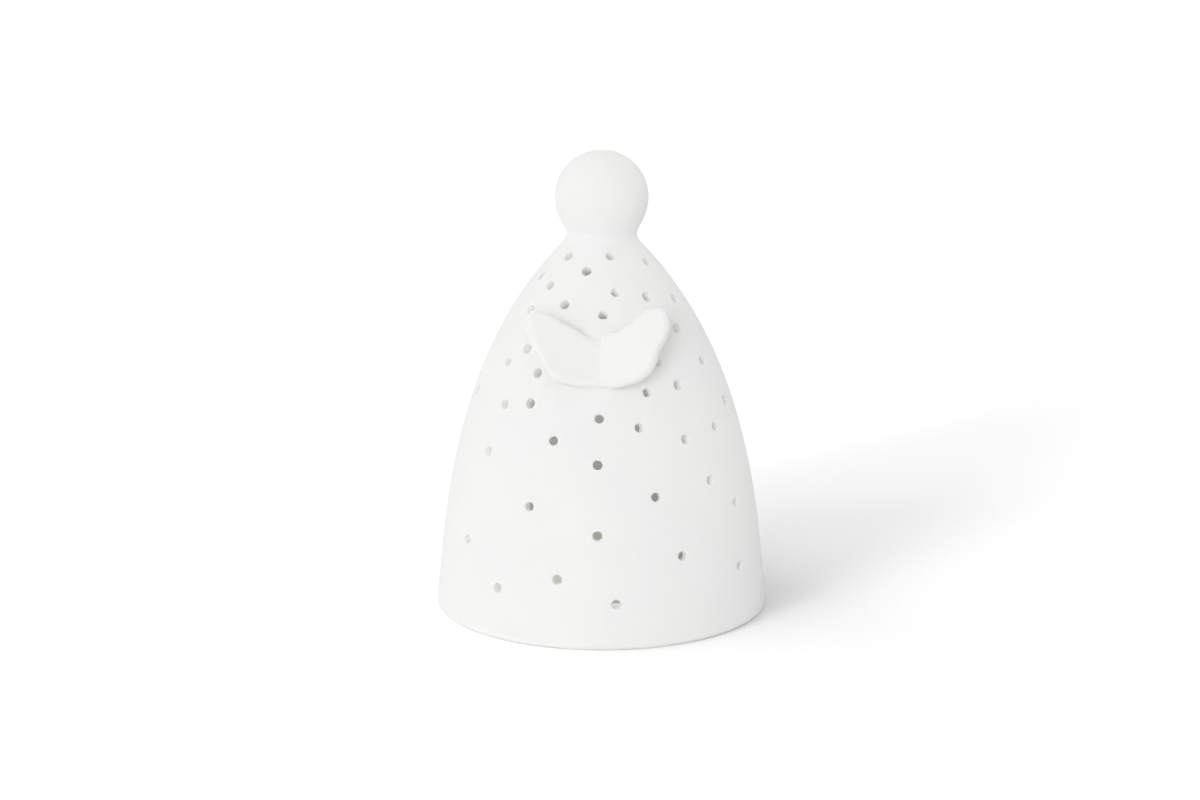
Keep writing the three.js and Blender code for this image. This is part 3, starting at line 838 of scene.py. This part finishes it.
def softened(bm, width):
    return easeEdges(bm, width, lamp["softFrom"])


def plusSign(bm, size, low, high):
    long, wide = size
    return cutBy(bm, slab(long, wide, low, high), slab(wide, long, low, high))


# the lower housing; pairs are a radius and a top, or a length and a width
base = {
    "rounding": 0.4 * mm,
    "rooted": 1.5 * mm,  # how far the posts go down into the floor
    "screwPost": 2.9 * mm,
    "doorPost": (2.6 * mm, 8.4 * mm),
    "doorScrewHole": (1.2 * mm, 7.4 * mm),
    "doorSeat": 2.9 * mm,
    "screwHead": (2.3 * mm, 2.6 * mm),
    "rimSpring": (4.6 * mm, 3.1 * mm),
    "rimSpringPlace": 10 * mm,
    "capSpring": (0.95 * mm, 4.6 * mm),
    "capSpringPlace": 5 * mm,
    "capSpringFoot": 7 * mm,
    "thumb": (6.8 * mm, 4.8 * mm),
    "thumbTop": 2.3 * mm,
    "thumbRounding": 0.6 * mm,
    "stem": (4.1 * mm, 2.1 * mm),
    "stemTop": 5.1 * mm,
    "markPlace": 5.2 * mm,
    "markDepth": 0.25 * mm,
    "markLine": (0.45 * mm, 2 * mm),
    "markRing": (1.05 * mm, 0.62 * mm),  # outer and inner radius
    "soft": 0.12 * mm,
}


def mark(word, x):  # off and on, sunk beside the switch
    low, y = lamp["underside"] - lamp["beyond"], lamp["fitting"]
    high = lamp["underside"] + base["markDepth"]
    if word == "I":
        return slab(*base["markLine"], low, high, x, y)
    outer, inner = base["markRing"]
    middle = disc(inner, low - lamp["beyond"], high + lamp["beyond"], x, y)
    return cutBy(disc(outer, low, high, x, y), middle)


def lampBase():
    ease, radius, flangeTop = base["rounding"], lamp["flangeRadius"], lamp["flangeTop"]
    low, floorTop, inside = lamp["underside"], lamp["floorTop"], lamp["inside"]
    points = [(0, low)]
    points += arc((radius - ease, low + ease), ease, -90, 0, 4)
    points += arc((radius - ease / 2, flangeTop - ease / 2), ease / 2, 0, 90, 3)
    points += [(lamp["radius"] + ease / 2, flangeTop), (lamp["radius"], flangeTop + ease / 2)]
    points += [(lamp["radius"], lamp["seam"]), (inside, lamp["seam"])]
    points += arc((inside - ease, floorTop + ease), ease, 0, -90, 3)
    points += [(0, floorTop)]
    at, root, top = lamp["fitting"], floorTop - base["rooted"], lamp["wellTop"]
    steps = lamp["smallSteps"]
    doorPost, doorPostTop = base["doorPost"]
    cup = joinedTo(
        turned(points, lamp["steps"]),
        disc(lamp["wellOuter"], root, top, steps=steps),
        disc(base["screwPost"], root, top, -at, 0),
        disc(base["screwPost"], root, top, at, 0),
        disc(doorPost, root, doorPostTop, 0, -at),
    )
    below, above = -lamp["beyond"], top + lamp["beyond"]
    head, headTop = base["screwHead"]
    doorScrew, doorScrewTop = base["doorScrewHole"]
    thumb = slab(*base["thumb"], below, base["thumbTop"], 0, at)
    cuts = [doorForm(lamp["gap"], below, base["doorSeat"])]
    cuts += [disc(lamp["wellRadius"], below, lamp["wellCeiling"], steps=steps)]
    for x in (-at, at):
        cuts += [disc(head, below, headTop, x, 0), disc(lamp["screwHole"], below, above, x, 0)]
    cuts += [
        disc(doorScrew, below, doorScrewTop, 0, -at),
        slab(*base["rimSpring"], base["doorSeat"], above, 0, -base["rimSpringPlace"]),
        slab(*base["capSpring"], base["capSpringFoot"], above, -base["capSpringPlace"], 0),
        easeEdges(thumb, base["thumbRounding"], segments=3),
        slab(*base["stem"], below, base["stemTop"], 0, at),
        mark("O", -base["markPlace"]),
        mark("I", base["markPlace"]),
    ]
    return softened(cutBy(cup, *cuts), base["soft"])


# the upper housing
cover = {
    "ceiling": 15.1 * mm,
    "top": 16.7 * mm,
    "rounding": 0.8 * mm,
    "collar": 4.4 * mm,
    "collarHeight": 0.8 * mm,
    "post": (2.6 * mm, 9.5 * mm, 15.9 * mm),  # radius, foot and top
    "screwEnd": 12.6 * mm,
    "lensHole": 2.8 * mm,
    "vents": 8,
    "vent": (1.2 * mm, 5.5 * mm),
    "ventPlace": 10.8 * mm,
    "ventRounding": 0.5 * mm,
    "soft": 0.1 * mm,
}


def lampCover():
    ease, low, top, inside = cover["rounding"], cover["ceiling"], cover["top"], lamp["inside"]
    seam, collar = lamp["seam"] + lamp["gap"], cover["collar"]
    collarTop = top + cover["collarHeight"]
    points = [(0, low), (inside - ease / 2, low)]
    points += arc((inside - ease / 2, low - ease / 2), ease / 2, 90, 0, 3)[1:]
    points += [(inside, seam), (lamp["radius"], seam)]
    points += arc((lamp["radius"] - ease, top - ease), ease, 0, 90, 6)
    points += [(collar + ease / 4, top), (collar, top + ease / 4)]
    points += arc((collar - ease / 4, collarTop - ease / 4), ease / 4, 0, 90, 3)
    points += [(0, collarTop)]
    bm = turned(points, lamp["steps"])
    below, above = low - lamp["beyond"], collarTop + lamp["beyond"]
    post, postFoot, postTop = cover["post"]
    cuts = [disc(cover["lensHole"], below, above, steps=64)]
    for x in (-lamp["fitting"], lamp["fitting"]):
        bm = joinedTo(bm, disc(post, postFoot, postTop, x, 0))
        cuts.append(disc(lamp["screwHole"], postFoot - lamp["beyond"], cover["screwEnd"], x, 0))
    for i in range(cover["vents"]):
        vent = slab(*cover["vent"], below, above, 0, cover["ventPlace"])
        vent = easeEdges(vent, cover["ventRounding"], segments=3)
        turn = Matrix.Rotation(math.tau * (i + 0.5) / cover["vents"], 3, "Z")
        bmesh.ops.rotate(vent, cent=(0, 0, 0), matrix=turn, verts=vent.verts)
        cuts.append(vent)
    return softened(cutBy(bm, *cuts), cover["soft"])


# the screws of the housing and the door, seen from below
screws = {
    "cover": {"head": 2 * mm, "headHeight": 1.2 * mm, "thread": mm, "length": 10 * mm,
              "pitch": 0.7 * mm},
    "door": {"head": 1.9 * mm, "headHeight": 0.6 * mm, "thread": 0.9 * mm, "length": 5.4 * mm,
             "pitch": 0.6 * mm},
    "roundingShare": 0.25,  # of the head's height
    "rootShare": 0.78,  # of the thread's radius
    "threadShares": (0.4, 0.52, 0.92),  # of the pitch, up to the crest, along it and down again
    "tipShare": 0.25,  # of the root
    "crossShares": (1.15, 0.32),  # of the head's radius
    "sunkShare": 0.55,  # of the head's height
}


def screwPiece(name, node, kind, x, y, body):
    size, low = screws[kind], lamp["underside"]
    radius, height, thick, pitch = size["head"], size["headHeight"], size["thread"], size["pitch"]
    ease, z = screws["roundingShare"] * height, low + height
    points = [(0, low)] + arc((radius - ease, low + ease), ease, -90, 0, 3)
    points += arc((radius - ease / 2, z - ease / 2), ease / 2, 0, 90, 2)
    root, top = screws["rootShare"] * thick, z + size["length"]
    flank, crest, foot = (share * pitch for share in screws["threadShares"])
    points += [(root, z)]
    z += pitch
    while z + 2 * pitch < top:
        points += [(root, z), (thick, z + flank), (thick, z + crest), (root, z + foot)]
        z += pitch
    points += [(root, top - pitch), (screws["tipShare"] * root, top), (0, top)]
    cross = [share * radius for share in screws["crossShares"]]
    sunk = low + screws["sunkShare"] * height
    bm = plusSign(turned(points, 48), cross, low - lamp["beyond"], sunk)
    bmesh.ops.translate(bm, vec=(x, y, 0), verts=bm.verts)
    return finishPiece(name, bm, zincSteel, body, [node])


# the battery door; its heights are from the table too
door = {
    "top": 2.6 * mm,
    "screwHead": (2.2 * mm, 2 * mm),  # radius and top
    "screwHole": (1.2 * mm, 4 * mm),
    "sunk": 0.3 * mm,
    "plus": (3.4 * mm, 0.7 * mm),
    "gripLines": (7.2 * mm, 8.4 * mm, 9.6 * mm),  # for a fingernail
    "gripMargin": mm,
    "gripShare": 0.9,
    "gripWidth": 0.5 * mm,
    "gripRounding": 0.2 * mm,
    "soft": 0.15 * mm,
}


def batteryDoor():
    at, low = lamp["fitting"], lamp["underside"]
    below, sunk = low - lamp["beyond"], low + door["sunk"]
    head, headTop = door["screwHead"]
    hole, holeTop = door["screwHole"]
    holes = disc(head, below, headTop, 0, -at), disc(hole, below, holeTop, 0, -at)
    bm = cutBy(doorForm(0, low, door["top"]), *holes)
    bm = plusSign(bm, door["plus"], below, sunk)
    for y in door["gripLines"]:
        long = door["gripShare"] * math.sqrt(lamp["wellOuter"] ** 2 - (y + door["gripMargin"]) ** 2)
        line = slab(long, door["gripWidth"], below, sunk, 0, y)
        bm = cutBy(bm, easeEdges(line, door["gripRounding"]))
    return softened(bm, door["soft"])


# the diode's resin, and the metal that shows through it
diode = {
    "foot": 13.8 * mm,
    "rim": 2.9 * mm,
    "rimHeight": mm,
    "dome": 2.5 * mm,
    "top": 22.4 * mm,
    "rounding": 0.15 * mm,
    "flatShare": 0.88,  # of the rim's radius, where the rim is cut flat
    # the metal inside: length, width, low, high and place, and how much its edges are rounded
    "cup": ((1.6 * mm, 1.5 * mm, 15.6 * mm, 18.4 * mm, -0.8 * mm), 0.2 * mm),
    "pole": ((0.7 * mm, mm, 15.6 * mm, 18.2 * mm, 1.2 * mm), 0.15 * mm),
}


def diodeLens():
    foot, rim, dome, top = diode["foot"], diode["rim"], diode["dome"], diode["top"]
    ease, rimTop, past = diode["rounding"], foot + diode["rimHeight"], lamp["beyond"]
    points = [(0, foot), (rim - ease, foot), (rim, foot + ease)]
    points += [(rim, rimTop - ease), (rim - ease, rimTop), (dome, rimTop)]
    points += arc((0, top - dome), dome, 0, 90, 14)
    points[-1] = (0, top)
    away = diode["flatShare"] * rim + past
    flat = slab(2 * past, 2 * (rim + past), foot - past, rimTop + hair, away, 0)
    return cutBy(turned(points, 64), flat)


def diodeCup():
    return together(*(easeEdges(slab(*size), ease) for size, ease in (diode["cup"], diode["pole"])))


# the button: places from the middle of its recess; blocks are length, width, low and high
switch = {
    "off": -mm,
    "button": (3 * mm, 3 * mm, 0.6 * mm, 2 * mm),
    "rounding": 0.25 * mm,
    "groove": (0.25 * mm, 4 * mm, 0.4 * mm, 0.85 * mm),
    "grooves": (-0.9 * mm, -0.3 * mm, 0.3 * mm, 0.9 * mm),
    "stem": (1.5 * mm, 1.5 * mm, 1.5 * mm, 4.1 * mm),
}


def switchSlider():
    x, y = switch["off"], lamp["fitting"]
    button = easeEdges(slab(*switch["button"], x, y), switch["rounding"], segments=3)
    for step in switch["grooves"]:
        button = cutBy(button, slab(*switch["groove"], x + step, y))
    return joinedTo(button, slab(*switch["stem"], x, y))


# the coin cell, lying with its cap up
cell = {
    "underside": 2.9 * mm,
    "top": 6.1 * mm,
    "radius": 10 * mm,
    "rounding": 0.4 * mm,
    "groove": (8.7 * mm, 8.8 * mm, 9 * mm, 9.1 * mm),  # radii of its edges
    "grooveDepth": 0.06 * mm,
    "cap": 8.6 * mm,
    "capRise": 0.25 * mm,
    "capRounding": 0.2 * mm,
    "seal": (0.1 * mm, 0.3 * mm, 0.35 * mm),  # how far its edges are from the cap
    "sealDepth": 0.2 * mm,
    "plus": (4 * mm, 0.8 * mm),
    "plusDepth": 0.08 * mm,
    "steps": 144,
}


def coinCell():
    low, high, radius, cap = cell["underside"], cell["top"], cell["radius"], cell["cap"]
    ease, canTop, sunk = cell["rounding"], high - cell["capRise"], low + cell["grooveDepth"]
    first, second, third, fourth = cell["groove"]
    points = [(0, low), (first, low), (second, sunk), (third, sunk), (fourth, low)]
    points += arc((radius - ease, low + ease), ease, -90, 0, 6)
    points += arc((radius - ease, canTop - ease), ease, 0, 90, 5)
    near, far, edge = (cap + width for width in cell["seal"])
    sealTop, turn = canTop - cell["sealDepth"], cell["capRounding"]
    points += [(edge, canTop), (far, sealTop), (near, sealTop)]
    points += arc((cap - turn, high - turn), turn, 0, 90, 4)
    points += [(0, high)]
    bm = turned(points, cell["steps"])
    return plusSign(bm, cell["plus"], low - lamp["beyond"], low + cell["plusDepth"])


finishPiece("gripRing", gripRing(), silicone, "light_unit", ["grip_ring"])
finishPiece("lampBase", lampBase(), housingPlastic, "light_unit", ["lamp_base"])
finishPiece("lampCover", lampCover(), housingPlastic, "light_unit", ["lamp_cover"])
finishPiece("batteryDoor", batteryDoor(), housingPlastic, "door", ["battery_door"])
print("housing moulded")

screwPiece("coverScrew1", "cover_screw_1", "cover", -lamp["fitting"], 0, "light_unit")
screwPiece("coverScrew2", "cover_screw_2", "cover", lamp["fitting"], 0, "light_unit")
screwPiece("doorScrew", "door_screw", "door", 0, -lamp["fitting"], "door")
finishPiece("diodeLens", diodeLens(), resin, "light_unit", ["led_body"])
finishPiece("diodeCup", diodeCup(), zincSteel, "light_unit")
finishPiece("switchSlider", switchSlider(), switchPlastic, "slider", ["switch_slider"])
finishPiece("coinCell", coinCell(), nickel, "cell", ["coin_cell"])
print("lamp put together")

# these are shown as their own solids
bareNodes = {
    "circuit_board": greenBoard,
    "led_anode_lead": zincSteel,
    "led_cathode_lead": zincSteel,
    "switch_body": switchPlastic,
    "positive_contact": nickel,
    "negative_contact": nickel,
}
for node, material in bareNodes.items():
    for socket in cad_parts[node].material_slots:
        socket.material = material


# floor, lamps and background
studio = {
    "paper": (0.5, 0.5, 0.5),
    "paperBelow": (0.43, 0.43, 0.43),  # what lights the object from the table
    "paperGlow": 0.246,  # seen by the camera, in glass and in metal only
    "tableReach": 6,  # metres
    "clearance": 20 * hair,  # of the table under the foot ring's flat
    "sky": 0.732,
    "skyFall": 0.12,  # by how much the sky is dimmer on the right
    # side in degrees from the camera's, height above the table, width across, and level
    "window": (-15, 16, 28, 0.86),
    "farWindow": (138, 12, 40, 0.55),
    # for the shadow on the table alone
    "tableWindows": [(-36, 10, 20, 4.9), (-52, 26, 20, 1.35), (-98, 30, 70, 2)],
}


def seen(graph):  # 1 where the camera sees a thing itself, in glass or in metal
    path = graph.node("ShaderNodeLightPath").outputs
    return Value(graph, path["Is Camera Ray"]) + path["Is Glossy Ray"] + path["Is Transmission Ray"]


def makeFloor():
    bm = bmesh.new()
    below = Matrix.Translation((0, 0, -studio["clearance"]))
    bmesh.ops.create_grid(bm, x_segments=1, y_segments=1, size=studio["tableReach"], matrix=below)
    floor = objectFrom("floor", bm)
    made = Finish("paperFloor", {"Roughness": 0.9})
    made.set("Base Color", made.blend(seen(made), studio["paperBelow"], studio["paper"]))
    glow = made.node("ShaderNodeEmission", None, {"Strength": seen(made) * studio["paperGlow"]})
    both = made.node("ShaderNodeAddShader", None, {0: made.shader.outputs[0], 1: glow.outputs[0]})
    made.feed(made.output.inputs["Surface"], both.outputs[0])
    floor.data.materials.append(made.material)
    return floor


def makeLamp(name, side, height, width, level):
    light = bpy.data.lights.new(name, "SUN")
    light.energy = level
    light.angle = math.radians(width)
    holder = bpy.data.objects.new(name, light)
    turn, rise = math.radians(side), math.radians(height)
    out = math.cos(rise)
    away = Vector((math.sin(turn) * out, -math.cos(turn) * out, math.sin(rise)))
    holder.location = away
    holder.rotation_euler = away.to_track_quat("Z", "Y").to_euler()
    bpy.context.collection.objects.link(holder)
    return holder


def makeSky():
    world = bpy.data.worlds.new("paperRoom")
    bpy.context.scene.world = world
    room = Graph(world)
    paper = {"Color": (1, 1, 1, 1)}
    way = room.node("ShaderNodeTexCoord").outputs["Generated"]
    right = Value(room, room.node("ShaderNodeSeparateXYZ", None, {0: way}).outputs["X"])
    level = studio["sky"] - right.maths("MAXIMUM", right, 0) * studio["skyFall"]
    dim = room.node("ShaderNodeBackground", None, {**paper, "Strength": level})
    white = room.node("ShaderNodeBackground", None, {**paper, "Strength": 1})
    pick = room.node("ShaderNodeMixShader", None, {
        0: seen(room), 1: dim.outputs[0], 2: white.outputs[0]})
    room.node("ShaderNodeOutputWorld", None, {"Surface": pick.outputs[0]})


makeLamp("window", *studio["window"])
makeLamp("farWindow", *studio["farWindow"])
table = bpy.data.collections.new("table")
table.objects.link(makeFloor())
for tableWindow in studio["tableWindows"]:
    makeLamp("tableWindow", *tableWindow).light_linking.receiver_collection = table
makeSky()
bpy.context.scene.view_settings.view_transform = "Standard"
print("studio set")
